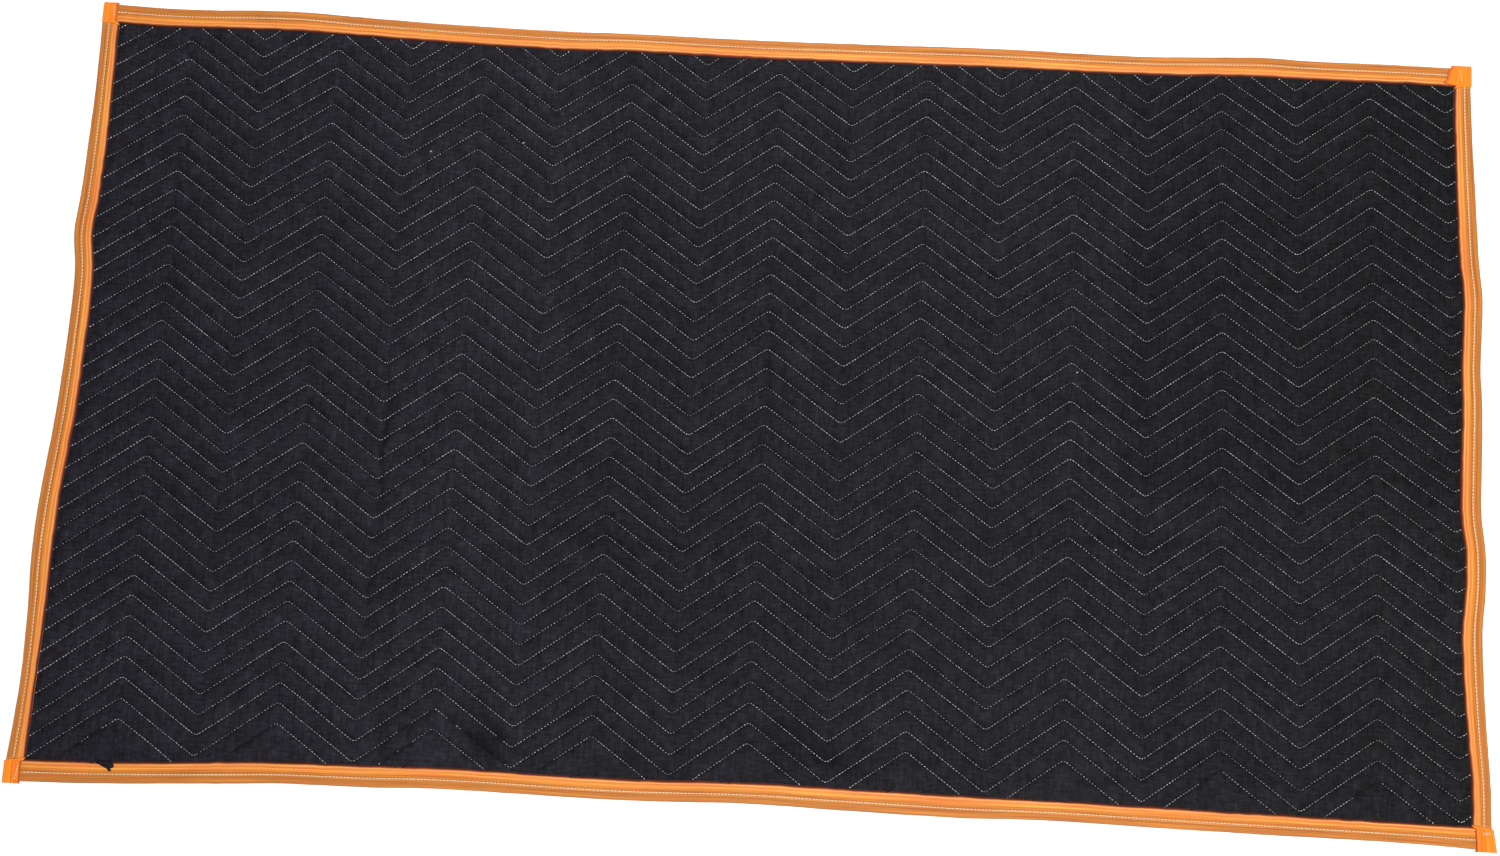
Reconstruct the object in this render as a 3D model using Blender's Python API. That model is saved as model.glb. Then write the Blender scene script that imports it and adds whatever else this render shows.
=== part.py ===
"""Moving pad: a quilted blanket for wrapping furniture, lying flat, with tape bound over its four edges.

Metres, +Z up, origin at the bottom centre. X runs along the pad, +Y is its far long edge.
The tables are in millimetres, measured from the middle of the quilting.
"""

import math
from bisect import bisect_right
from collections import namedtuple

import bmesh
import bpy

MM = 0.001

# Quilting: rows of stitching run along the pad as an even zigzag, and the cloth puffs up between them.
# The last kink lies past the right edge: the rows only start to climb towards it before the tape.
KINKS = (-886, -788, -690, -592, -494, -398, -298, -200, -102, -6)
KINKS += (92, 190, 288, 386, 482, 580, 678, 776, 876, 974)
ZIGZAG_HEIGHT = 69.5
FIRST_ROW = -20
LAST_ROW = 20
MIDDLE_ROW_Y = 10.8
ROW_PITCH = 24.88
PITCH_BOW = 0.45
PITCH_TAPER = 0.08
BOW_HALF_LENGTH = 850.0
STITCH_Z = 3.5
PUFF_Z = 5.7
PUFF_UNEVEN = 0.2
SHOULDERS = (0.3, 0.7)
SLAB_HALF_LENGTH = 935.0
SLAB_HALF_WIDTH = 620.0

# Soft creases where the pad was folded for storage. Those across it lie at kinks of the zigzag.
Crease = namedtuple("Crease", "runs at start end depth half_width")
CREASES = (
    Crease("along", 191, -890, -560, 0.5, 16),
    Crease("along", 190, 90, 420, 0.7, 16),
    Crease("along", 188, 560, 890, 0.7, 16),
    Crease("along", -178, -300, -40, 0.8, 16),
    Crease("along", -152, 200, 590, 0.9, 16),
    Crease("across", -494, -170, 180, 0.9, 14),
    Crease("across", -6, -20, 190, 0.7, 14),
    Crease("across", 482, -300, 120, 0.5, 14),
)

# The bound edges, as distances from the middle to the outer fold and to the inner edge of the tape.
Edge = namedtuple("Edge", "along outer inner")
FAR_EDGE = (
    Edge(-900, 508.0, 482.2),
    Edge(-805, 505.0, 480.5),
    Edge(-665, 509.2, 483.3),
    Edge(-565, 505.5, 480.5),
    Edge(-445, 501.5, 476.5),
    Edge(-285, 499.2, 474.2),
    Edge(-205, 500.2, 476.0),
    Edge(-45, 499.2, 474.8),
    Edge(115, 500.8, 475.8),
    Edge(295, 503.3, 477.6),
    Edge(435, 501.5, 477.2),
    Edge(515, 503.0, 478.2),
    Edge(635, 508.2, 482.1),
    Edge(715, 506.2, 481.0),
    Edge(795, 506.8, 482.0),
    Edge(900, 506.0, 480.5),
)
NEAR_EDGE = (
    Edge(-900, 507.2, 481.8),
    Edge(-805, 505.2, 480.8),
    Edge(-725, 501.8, 477.5),
    Edge(-645, 498.2, 472.8),
    Edge(-565, 494.5, 470.3),
    Edge(-485, 494.8, 470.2),
    Edge(-385, 492.2, 468.2),
    Edge(-205, 494.8, 471.2),
    Edge(-125, 495.0, 471.0),
    Edge(-5, 492.2, 468.4),
    Edge(115, 495.0, 470.2),
    Edge(275, 497.2, 472.0),
    Edge(355, 495.0, 472.5),
    Edge(475, 497.2, 474.2),
    Edge(635, 499.8, 476.2),
    Edge(795, 501.5, 478.5),
    Edge(900, 505.5, 480.0),
)
LEFT_EDGE = (
    Edge(-485, 915.8, 893.8),
    Edge(-385, 910.5, 892.8),
    Edge(-285, 912.8, 891.5),
    Edge(-220, 916.5, 892.1),
    Edge(-135, 914.0, 890.0),
    Edge(-60, 908.5, 884.5),
    Edge(65, 905.2, 882.0),
    Edge(140, 906.5, 883.5),
    Edge(190, 913.5, 890.2),
    Edge(225, 911.6, 888.2),
    Edge(290, 910.0, 886.5),
    Edge(390, 909.2, 887.8),
    Edge(485, 911.2, 890.0),
)
RIGHT_EDGE = (
    Edge(-485, 908.4, 885.4),
    Edge(-435, 909.4, 887.0),
    Edge(-335, 905.8, 881.5),
    Edge(-235, 906.0, 880.8),
    Edge(-160, 914.0, 889.2),
    Edge(-110, 909.5, 884.2),
    Edge(-60, 910.5, 884.8),
    Edge(40, 915.0, 890.0),
    Edge(90, 914.2, 890.8),
    Edge(190, 920.2, 895.8),
    Edge(230, 917.5, 893.0),
    Edge(315, 915.8, 891.8),
    Edge(415, 913.8, 891.8),
    Edge(485, 914.0, 893.2),
)

# The folded-under ends of the side tapes lap over the ends of the long tapes as square blocks.
Corner = namedtuple("Corner", "outer_start outer_end inner end")
LEFT_NEAR_CORNER = Corner(917.3, 916.8, 896.0, 509.3)
LEFT_FAR_CORNER = Corner(911.5, 911.8, 892.0, 509.3)
RIGHT_NEAR_CORNER = Corner(910.8, 914.2, 887.5, 507.8)
RIGHT_FAR_CORNER = Corner(915.6, 916.0, 887.5, 508.8)

# Heights in a tape's folded section: the two faces of its lower leg, then of its upper leg, then the
# doubled inner half of the upper leg. Below them are places across the tape, in mm or as shares of its
# width.
Levels = namedtuple("Levels", "under under_in over_in over fold")
RUN = Levels(0.0, 1.0, 3.6, 4.6, 5.4)
TUCK = Levels(1.1, 1.9, 3.7, 4.5, 4.5)
LAP = Levels(0.0, 0.8, 4.8, 5.7, 5.9)
LONG_STEP = 62.0
SIDE_STEP = 48.0
TAPE_WALL = 1.1
WALL_SLOPE = 0.9
FOLD_ROUND = 1.2
FOLD_HALF_HEIGHT = 0.9
LOWER_LEG_SHORT = 1.5
SEAM_OUTSIDE = 0.38
SEAM_INSIDE = 0.44
SEAM_RISE = 0.1
HEM_EDGE = 0.50
HEM_CROWN = 0.74
HEM_ROUND = 1.1
TUCK_START = 1.0
TUCK_RAMP = 5.0
LAP_RAMP = 3.8
LAP_LIFT = 0.2
LAP_START = 0.8

# The raw edge of the body is pressed thin inside the tape.
FLANGE_UNDER = 2.2
FLANGE_OVER = 3.4
FLANGE_INSET = 2.3
TAPE_END_INSET = 2.6
FIELD_GAP = 0.45
FIELD_SHOULDER = 3.0
FIELD_WALL_TOP = 3.6
FIELD_CUTTER_TOP = 7.0
FIELD_CUTTER_UNDER = -1.0
CORNER_CLEAR = 2.0
SETTLING_STEPS = 4

Station = namedtuple("Station", "along outer inner levels")


def clear_scene():
    for thing in list(bpy.data.objects):
        bpy.data.objects.remove(thing, do_unlink=True)


def fabric(name, colour, roughness):
    material = bpy.data.materials.new(name)
    material.use_nodes = True
    shader = material.node_tree.nodes["Principled BSDF"]
    shader.inputs["Base Color"].default_value = (*colour, 1.0)
    shader.inputs["Roughness"].default_value = roughness
    shader.inputs["Metallic"].default_value = 0.0
    return material


def smooth_value(rows, column, along):
    """Read a column of an edge table at a place between its rows, on a smooth curve through them."""
    places = [row.along for row in rows]
    low = min(max(bisect_right(places, along) - 1, 0), len(rows) - 2)
    span = places[low + 1] - places[low]
    part = (along - places[low]) / span
    values = [getattr(row, column) for row in rows]

    def slope(index):
        before = max(index - 1, 0)
        after = min(index + 1, len(rows) - 1)
        return (values[after] - values[before]) / (places[after] - places[before])

    square = part * part
    cube = square * part
    return (
        values[low] * (2 * cube - 3 * square + 1)
        + slope(low) * span * (cube - 2 * square + part)
        + values[low + 1] * (3 * square - 2 * cube)
        + slope(low + 1) * span * (cube - square)
    )


def run_station(rows, along, levels):
    return Station(along, smooth_value(rows, "outer", along), smooth_value(rows, "inner", along), levels)


def even_places(start, end, step):
    count = math.ceil((end - start) / step)
    return [start + (end - start) * index / count for index in range(count + 1)]


def tucked_end(corner, side_row):
    """How far out a long tape reaches inside the lap: short of the side tape's wall all the way."""
    return min(corner.outer_start, corner.outer_end, side_row.outer) - TAPE_END_INSET


def long_tape_stations(rows, left_corner, right_corner, left_row, right_row):
    """Stations along a long tape: its ends are pressed thin where the side tapes lap over them."""
    left_end = -tucked_end(left_corner, left_row)
    right_end = tucked_end(right_corner, right_row)
    left_tuck = -left_corner.inner + TUCK_START
    right_tuck = right_corner.inner - TUCK_START
    stations = [run_station(rows, left_end, TUCK), run_station(rows, left_tuck, TUCK)]
    for along in even_places(left_tuck + TUCK_RAMP, right_tuck - TUCK_RAMP, LONG_STEP):
        stations.append(run_station(rows, along, RUN))
    stations += [run_station(rows, right_tuck, TUCK), run_station(rows, right_end, TUCK)]
    return stations


def side_tape_stations(rows, near_corner, far_corner, near_inner, far_inner):
    """Stations along a side tape, from the near corner block to the far one."""
    near_run = -(near_inner - LAP_RAMP)
    far_run = far_inner - LAP_RAMP
    stations = [
        Station(-near_corner.end, near_corner.outer_end, near_corner.inner, LAP),
        Station(-near_inner - LAP_START, near_corner.outer_start, near_corner.inner, LAP),
        run_station(rows, -near_inner + LAP_LIFT, LAP),
    ]
    for along in even_places(near_run, far_run, SIDE_STEP):
        stations.append(run_station(rows, along, RUN))
    stations += [
        run_station(rows, far_inner - LAP_LIFT, LAP),
        Station(far_inner + LAP_START, far_corner.outer_start, far_corner.inner, LAP),
        Station(far_corner.end, far_corner.outer_end, far_corner.inner, LAP),
    ]
    return stations


def line_value(stations, column, along):
    """Read a station list as a straight-sided line, so that what lies inside a tape follows its facets."""
    places = [station.along for station in stations]
    low = min(max(bisect_right(places, along) - 1, 0), len(stations) - 2)
    part = (along - places[low]) / (places[low + 1] - places[low])
    start = getattr(stations[low], column)
    end = getattr(stations[low + 1], column)
    return start + (end - start) * part


def tape_section(width, levels):
    """The folded tape cut across: in from the outer fold, then up. Its mouth faces the pad."""
    middle = (levels.under_in + levels.over_in) / 2
    mouth = width - LOWER_LEG_SHORT
    bend = TAPE_WALL + WALL_SLOPE
    return [
        (mouth, levels.under),
        (FOLD_ROUND, levels.under),
        (0.0, middle - FOLD_HALF_HEIGHT),
        (0.0, middle + FOLD_HALF_HEIGHT),
        (FOLD_ROUND, levels.over),
        (SEAM_OUTSIDE * width, levels.over - SEAM_RISE),
        (SEAM_INSIDE * width, levels.over + SEAM_RISE),
        (HEM_EDGE * width, levels.fold - SEAM_RISE),
        (HEM_CROWN * width, levels.fold),
        (width - HEM_ROUND, levels.fold - SEAM_RISE),
        (width, (levels.over_in + levels.fold) / 2),
        (width - HEM_ROUND, levels.over_in),
        (bend, levels.over_in),
        (TAPE_WALL, middle),
        (bend, levels.under_in),
        (mouth, levels.under_in),
    ]


def mesh_object(name, shape, material):
    bmesh.ops.recalc_face_normals(shape, faces=shape.faces)
    mesh = bpy.data.meshes.new(name)
    shape.to_mesh(mesh)
    shape.free()
    mesh.materials.append(material)
    thing = bpy.data.objects.new(name, mesh)
    bpy.context.collection.objects.link(thing)
    return thing


def sewn_tape(name, stations, place, material):
    """Loft the folded section along a pad edge; place turns (along, out, up) in mm into a point."""
    shape = bmesh.new()
    loops = []
    for station in stations:
        section = tape_section(station.outer - station.inner, station.levels)
        loops.append([shape.verts.new(place(station.along, station.outer - u, z)) for u, z in section])
    for before, after in zip(loops, loops[1:]):
        for index in range(len(before)):
            following = (index + 1) % len(before)
            shape.faces.new((before[index], before[following], after[following], after[index]))
    shape.faces.new(loops[0])
    shape.faces.new(loops[-1])
    return mesh_object(name, shape, material)


def crease_depth(x, y):
    depth = 0.0
    for crease in CREASES:
        along, off = (x, y - crease.at) if crease.runs == "along" else (y, x - crease.at)
        if crease.start <= along <= crease.end and abs(off) < crease.half_width:
            fade = math.sin(math.pi * (along - crease.start) / (crease.end - crease.start)) ** 0.5
            depth += crease.depth * fade * (1 - abs(off) / crease.half_width)
    return depth


def zigzag(x):
    """Height of the zigzag over its lowest line: it climbs from each even kink and falls from each odd one."""
    low = min(max(bisect_right(KINKS, x) - 1, 0), len(KINKS) - 2)
    part = (x - KINKS[low]) / (KINKS[low + 1] - KINKS[low])
    return ZIGZAG_HEIGHT * (part if low % 2 == 0 else 1 - part)


def row_y(row, x):
    """The rows lie closer together across the middle of the pad, where the sewing draws it in."""
    across = x / BOW_HALF_LENGTH
    pitch = ROW_PITCH + PITCH_BOW * across * across + PITCH_TAPER * across
    return MIDDLE_ROW_Y + row * pitch + zigzag(x)


def puff_z(row, x):
    uneven = math.sin(row * 2.3 + x * 0.011) + math.sin(row * 0.9 - x * 0.017 + 1.0)
    return PUFF_Z + PUFF_UNEVEN * uneven * 0.5


def quilt_lines():
    """Each line along the quilting as (row place, row of its puff or None on a stitch line)."""
    lines = []
    for row in range(FIRST_ROW, LAST_ROW + 1):
        lines.append((row, None))
        for shoulder in SHOULDERS:
            lines.append((row + shoulder, row))
    return lines


def quilted_slab(material):
    """The puffed top over a flat underside, longer and wider than the pad until it is trimmed."""
    columns = {kink for kink in KINKS if abs(kink) < SLAB_HALF_LENGTH} | {-SLAB_HALF_LENGTH, SLAB_HALF_LENGTH}
    for crease in CREASES:
        if crease.runs == "across":
            columns |= {crease.at - crease.half_width, crease.at + crease.half_width}
    columns = sorted(columns)

    shape = bmesh.new()
    grid = []
    bare_row = FIRST_ROW - SHOULDERS[0]
    lines = [(None, -SLAB_HALF_WIDTH, FIRST_ROW - 1), (bare_row, None, FIRST_ROW - 1)]
    lines += [(place, None, puff) for place, puff in quilt_lines()]
    lines.append((None, SLAB_HALF_WIDTH, LAST_ROW))
    for place, fixed_y, puff in lines:
        line = []
        for x in columns:
            y = fixed_y if place is None else row_y(place, x)
            z = STITCH_Z if puff is None else puff_z(puff, x)
            z = max(z - crease_depth(x, y), STITCH_Z)
            line.append(shape.verts.new((x * MM, y * MM, z * MM)))
        grid.append(line)
    for lower, upper in zip(grid, grid[1:]):
        for index in range(len(columns) - 1):
            shape.faces.new((lower[index], lower[index + 1], upper[index + 1], upper[index]))
    rim = [edge for edge in shape.edges if edge.is_boundary]
    skirt = bmesh.ops.extrude_edge_only(shape, edges=rim)["geom"]
    for vert in skirt:
        if isinstance(vert, bmesh.types.BMVert):
            vert.co.z = 0.0
    bmesh.ops.edgeloop_fill(shape, edges=[edge for edge in shape.edges if edge.is_boundary])
    return mesh_object("quilted_panel", shape, material)


def outline(tapes, column, inset):
    """The outline inside the four tapes as (x, y, inward x, inward y), anticlockwise from near left."""
    # Each corner is where two lines meet: reading one line at the other's place settles on it.
    corners = {}
    for x_side, side in ((-1, tapes["left"]), (1, tapes["right"])):
        for y_side, long_tape in ((-1, tapes["near"]), (1, tapes["far"])):
            y = 0.0
            for _ in range(SETTLING_STEPS):
                x = x_side * (line_value(side, column, y) - inset)
                y = y_side * (line_value(long_tape, column, x) - inset)
            corners[x_side, y_side] = (x, y, -x_side, -y_side)

    def long_points(tape, y_side):
        low = corners[-1, y_side][0] + CORNER_CLEAR
        high = corners[1, y_side][0] - CORNER_CLEAR
        inside = [station for station in tape if low < station.along < high]
        return [(s.along, y_side * (getattr(s, column) - inset), 0, -y_side) for s in inside]

    def side_points(tape, x_side):
        low = corners[x_side, -1][1] + CORNER_CLEAR
        high = corners[x_side, 1][1] - CORNER_CLEAR
        inside = [station for station in tape if low < station.along < high]
        return [(x_side * (getattr(s, column) - inset), s.along, -x_side, 0) for s in inside]

    return (
        [corners[-1, -1]]
        + long_points(tapes["near"], -1)
        + [corners[1, -1]]
        + side_points(tapes["right"], 1)
        + [corners[1, 1]]
        + long_points(tapes["far"], 1)[::-1]
        + [corners[-1, 1]]
        + side_points(tapes["left"], -1)[::-1]
    )


def trimmer(name, points, layers, material):
    """A closed block on an outline; each layer is a height and how far its outline is drawn in."""
    shape = bmesh.new()
    loops = []
    for z, drawn_in in layers:
        ring = [(x + dx * drawn_in, y + dy * drawn_in) for x, y, dx, dy in points]
        loops.append([shape.verts.new((x * MM, y * MM, z * MM)) for x, y in ring])
    for lower, upper in zip(loops, loops[1:]):
        for index in range(len(lower)):
            following = (index + 1) % len(lower)
            shape.faces.new((lower[index], lower[following], upper[following], upper[index]))
    shape.faces.new(loops[0])
    shape.faces.new(loops[-1])
    block = mesh_object(name, shape, material)
    block.hide_render = True
    block.display_type = "WIRE"
    return block


def add_boolean(thing, operation, other):
    modifier = thing.modifiers.new(operation.title(), "BOOLEAN")
    modifier.operation = operation
    modifier.solver = "EXACT"
    modifier.object = other


def middle_of(tapes):
    """Where the middle of the finished outline lies, measured from the middle of the quilting."""
    right = max(station.outer for station in tapes["right"])
    left = max(station.outer for station in tapes["left"])
    far = max([tapes["right"][-1].along, tapes["left"][-1].along] + [s.outer for s in tapes["far"]])
    near = max([-tapes["right"][0].along, -tapes["left"][0].along] + [s.outer for s in tapes["near"]])
    return ((right - left) / 2 * MM, (far - near) / 2 * MM)


def build_pad():
    clear_scene()
    black_cloth = fabric("black_quilted_cloth", (0.018, 0.018, 0.022), 0.95)
    orange_tape = fabric("orange_binding_tape", (0.85, 0.30, 0.06), 0.85)

    far = long_tape_stations(FAR_EDGE, LEFT_FAR_CORNER, RIGHT_FAR_CORNER, LEFT_EDGE[-1], RIGHT_EDGE[-1])
    near = long_tape_stations(NEAR_EDGE, LEFT_NEAR_CORNER, RIGHT_NEAR_CORNER, LEFT_EDGE[0], RIGHT_EDGE[0])

    def inner_at(stations, corner_x):
        return line_value(stations, "inner", corner_x)

    left = side_tape_stations(
        LEFT_EDGE, LEFT_NEAR_CORNER, LEFT_FAR_CORNER,
        inner_at(near, -LEFT_NEAR_CORNER.inner), inner_at(far, -LEFT_FAR_CORNER.inner),
    )
    right = side_tape_stations(
        RIGHT_EDGE, RIGHT_NEAR_CORNER, RIGHT_FAR_CORNER,
        inner_at(near, RIGHT_NEAR_CORNER.inner), inner_at(far, RIGHT_FAR_CORNER.inner),
    )
    tapes = {"far": far, "near": near, "left": left, "right": right}

    pieces = [
        sewn_tape("binding_far", far, lambda s, out, z: (s * MM, out * MM, z * MM), orange_tape),
        sewn_tape("binding_near", near, lambda s, out, z: (s * MM, -out * MM, z * MM), orange_tape),
        sewn_tape("binding_left", left, lambda s, out, z: (-out * MM, s * MM, z * MM), orange_tape),
        sewn_tape("binding_right", right, lambda s, out, z: (out * MM, s * MM, z * MM), orange_tape),
    ]

    panel = quilted_slab(black_cloth)
    field_points = outline(tapes, "inner", FIELD_GAP)
    field = trimmer(
        "field_trimmer", field_points,
        [(FIELD_CUTTER_UNDER, 0.0), (FIELD_WALL_TOP, 0.0), (FIELD_CUTTER_TOP, FIELD_SHOULDER)],
        black_cloth,
    )
    flange_points = outline(tapes, "outer", FLANGE_INSET)
    flange = trimmer("pressed_edge", flange_points, [(FLANGE_UNDER, 0.0), (FLANGE_OVER, 0.0)], black_cloth)
    add_boolean(panel, "INTERSECT", field)
    add_boolean(panel, "UNION", flange)
    pieces += [panel, field, flange]

    middle_x, middle_y = middle_of(tapes)
    for piece in pieces:
        piece.location = (-middle_x, -middle_y, 0.0)


build_pad()
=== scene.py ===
"""Moving pad, dressed: quilted black cloth, grey quilting thread, orange bound edges.

Lengths are in millimetres until a mesh is made; MM turns them to metres. X runs along the pad, +Y is its
far edge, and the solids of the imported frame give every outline.
"""

import math

import bpy
import numpy as np
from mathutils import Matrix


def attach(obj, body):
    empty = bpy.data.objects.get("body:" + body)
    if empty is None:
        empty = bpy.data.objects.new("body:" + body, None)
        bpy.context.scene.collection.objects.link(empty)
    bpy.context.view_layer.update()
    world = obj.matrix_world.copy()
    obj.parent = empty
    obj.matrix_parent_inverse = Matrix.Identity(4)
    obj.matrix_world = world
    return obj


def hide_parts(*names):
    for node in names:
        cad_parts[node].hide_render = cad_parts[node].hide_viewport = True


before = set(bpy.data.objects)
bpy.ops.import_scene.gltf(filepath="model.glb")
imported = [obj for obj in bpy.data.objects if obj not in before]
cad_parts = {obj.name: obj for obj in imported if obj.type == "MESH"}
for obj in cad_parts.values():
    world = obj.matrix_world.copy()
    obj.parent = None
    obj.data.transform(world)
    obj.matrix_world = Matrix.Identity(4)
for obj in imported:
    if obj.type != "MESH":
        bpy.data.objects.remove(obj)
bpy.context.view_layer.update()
MM = 0.001

# The pad's outline is where its four binding tapes lie. Each tape was folded over the raw edge by hand
# under the machine, so it wanders; its outer fold and inner edge are read off the solids, station by
# station, and joined by smooth curves.
CORNER_START = 478.0
UPPER_LEG_Z = 3.0


def tape_line(node, axis, limit=None):
    """Stations of a tape's solid: their places along it, its outer fold and its inner edge, in mm."""
    corners = np.array([vert.co[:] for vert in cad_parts[node].data.vertices]) / MM
    along = np.round(corners[:, axis], 1)
    across = np.abs(corners[:, 1 - axis])
    upper = corners[:, 2] > UPPER_LEG_Z
    places = np.unique(along)
    if limit is not None:
        places = places[np.abs(places) < limit]
    outer = np.array([across[along == place].max() for place in places])
    inner = np.array([across[(along == place) & upper].min() for place in places])
    return places, outer, inner


def smooth_line(places, values, at):
    """A smooth curve through the values, read at many places at once."""
    at = np.asarray(at, float)
    slopes = np.gradient(values, places)
    low = np.clip(np.searchsorted(places, at) - 1, 0, len(places) - 2)
    span = places[low + 1] - places[low]
    part = np.clip((at - places[low]) / span, 0, 1)
    square, cube = part**2, part**3
    return (
        values[low] * (2 * cube - 3 * square + 1)
        + slopes[low] * span * (cube - 2 * square + part)
        + values[low + 1] * (3 * square - 2 * cube)
        + slopes[low + 1] * span * (cube - square)
    )


EDGES = {
    "far": tape_line("binding_far", 0),
    "near": tape_line("binding_near", 0),
    "left": tape_line("binding_left", 1, CORNER_START),
    "right": tape_line("binding_right", 1, CORNER_START),
}


def outer_fold(side, along):
    """How far from the pad's middle line a tape is folded over, at places along it."""
    places, outer, _ = EDGES[side]
    return smooth_line(places, outer, along)


def inner_edge(side, along):
    """How far from the pad's middle line the inner edge of a tape's upper leg lies."""
    places, _, inner = EDGES[side]
    return smooth_line(places, inner, along)


# The quilted body: two layers of black spunbond polyester with a thin wadding between them, fed through
# a multi-needle machine whose carriage swings from side to side, so every row is the same zigzag. The
# sewing draws the middle of the pad in, and each row puffs up between two lines of stitching.
QUILT_MIDDLE_X = -1.45
KINKS = (-998, -900, -788, -690, -592, -494, -398, -298, -200, -102, -6)
KINKS += (92, 190, 288, 386, 482, 580, 678, 776, 876, 974)
ZIGZAG_HEIGHT = 69.5
LEFT_RUN_OUT = -9.9
KINK_ROUND = 3.2
FIRST_ROW = -20
LAST_ROW = 20
MIDDLE_ROW_Y = 10.8
ROW_PITCH = 24.88
PITCH_BOW = 0.45
PITCH_TAPER = 0.08
BOW_HALF_LENGTH = 850.0
ROW_WOBBLE = 0.6
ROW_WOBBLE_LENGTH = 45
ROW_WOBBLE_APART = 50
SKEW = 3.8
MIDDLE_SHIFT = 1.0
FAR_LIFT = 2.2
FAR_LIFT_TILT = 3.6
FAR_LIFT_RAMP = (0.3, 0.6)
NEAR_SINK = 0.8
NEAR_SINK_TILT = 1.2
NEAR_SINK_RAMP = (0.6, 0.25)
NEAR_SHIFT = 1.4
NEAR_SHIFT_RAMP = (0.3, 0.5)
NEAR_SHIFT_ALONG = (-0.6, 0.5)
ROWS_SINK = 0.6
STITCH_Z = 1.9
PUFF_Z = 6.3
UNDER_STITCH_Z = 0.8
UNDER_FLAT = 1.15
PUFF_SHAPE = 0.62
DEEPEST_Z = 1.2
PRESSED_OVER = 3.3
PRESSED_UNDER = 2.3
PRESSED_INSET = 2.6
RAMP = 8.0
RAMP_START = 3.4
LINE_SHARES = (0, 0.05, 0.15, 0.36, 0.64, 0.85, 0.95)
UNDER_SHARES = (0, 0.2, 0.8)
BARE_LINES = (-24.3, -23.4, -22.9, -22.4, -22, -21.6, -21.2, -20.8, -20.5, -20.3, -20.15, -20.06)
UNDER_BARE_LINES = (-24.3, -22.8, -21.8, -21, -20.5, -20.15)
KINK_COLUMNS = (-9, -4, 0, 4, 9)
COLUMN_STEP = 8.5
UNDER_KINK_COLUMNS = (-7, 0, 7)
UNDER_COLUMN_STEP = 26.0
CREASE_COLUMNS = (-489.5, -487.5, -483.5, -462, -458.5, 0)
SIDE_COLUMNS = (
    -909, -903, -897, -893, -890, -888, -886, -883, -880, -876,
    872, 875, 878, 881, 884, 886, 889, 892, 896, 902, 909,
)
SIDE_WARP_START = 878.0
SIDE_CLEAR = 6.0

# No two puffs are alike, and the cloth ripples and has greyer clouds. Each row: how much, the spacing of the
# change in x and y in mm, and the seed of its pattern.
UNEVEN_PUFFS = ((0.10, 60, 26, 21), (0.10, 22, 17, 22))
RIPPLES = ((0.16, 12, 60, 23), (0.12, 9, 9, 24))
CLOUDS = ((0.04, 70, 45, 25), (0.04, 24, 14, 26))

# Creases left by folding the pad for storage and by handling it, as straight lines on the quilting:
# where each starts and ends, how deep it is and how wide, in mm. A negative depth is a ridge.
CREASES = (
    (-494, 250, -489, 40, 0.9, 5),
    (-489, 40, -487, -175, 2.6, 4.5),
    (-487, -175, -489, -300, 1.1, 6),
    (-463, -240, -458, -400, 1.3, 5),
    (-458, -390, -462, -475, 1.8, 4.5),
    (-580, -90, -535, -150, 1.5, 6),
    (-560, -60, -505, -120, -0.9, 9),
    (-455, -80, -430, -92, 1.2, 5),
    (-890, 196, -700, 190, 0.9, 6),
    (-700, 190, -560, 197, 0.8, 6),
    (-120, 185, 120, 193, 0.6, 6),
    (90, 188, 430, 192, 1.4, 6),
    (430, 196, 560, 192, 0.6, 6),
    (560, 187, 700, 188, 2.0, 4.5),
    (690, 190, 890, 215, 1.1, 7),
    (-790, -176, -560, -182, 1.0, 7),
    (-310, -158, -200, -176, 1.4, 7),
    (-210, -178, -40, -186, 1.8, 6),
    (180, -172, 330, -152, 1.0, 7),
    (320, -152, 600, -150, 1.8, 6),
    (600, -150, 880, -140, 1.0, 8),
    (-5, 165, -2, -30, 1.5, 4.5),
    (3, -20, 4, -70, 1.1, 5),
    (482, 130, 486, -320, 0.9, 6),
    (290, 62, 430, 8, 1.2, 8),
    (300, 82, 420, 34, -0.7, 9),
    (215, 145, 275, 118, 1.1, 6),
    (546, 300, 556, 242, 1.3, 5),
    (-400, 215, -340, 262, 0.8, 7),
    (-756, -96, -732, -172, 0.9, 6),
    (-790, -415, -789, -482, 2.0, 6),
    (-692, -440, -690, -478, 1.4, 6),
    (-340, -405, -300, -428, 1.6, 7),
    (-372, -424, -318, -432, 1.3, 6),
    (-312, -436, -330, -462, 1.5, 6),
    (-300, -430, -262, -462, 1.3, 7),
    (-318, -425, -344, -382, 1.2, 7),
    (-450, -478, -448, -404, 1.3, 5),
    (-446, -462, -400, -470, -0.8, 8),
    (20, -385, 110, -440, 1.1, 9),
    (60, -430, 150, -452, 1.2, 9),
    (200, -380, 280, -440, 0.8, 9),
    (-870, -395, -820, -470, 0.9, 9),
    (-640, -300, -590, -340, 0.8, 7),
    (-700, 40, -660, -10, 0.7, 7),
    (-250, 60, -215, 10, 0.6, 7),
    (640, -60, 700, -90, 0.7, 8),
    (120, -260, 175, -300, 0.7, 8),
)
CREASE_WANDER = 2.5
CREASE_WANDER_LENGTH = 19
SWELLING = 0.45
SWELLING_PLACE = 1.9
# CREASE_SHADE is painted shade: the cloth's colour is darkened along each crease's trough, over the depths
# in SHADED_DEPTHS.
CREASE_SHADE = 0.15
SHADED_DEPTHS = (-0.3, 2.6)
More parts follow.
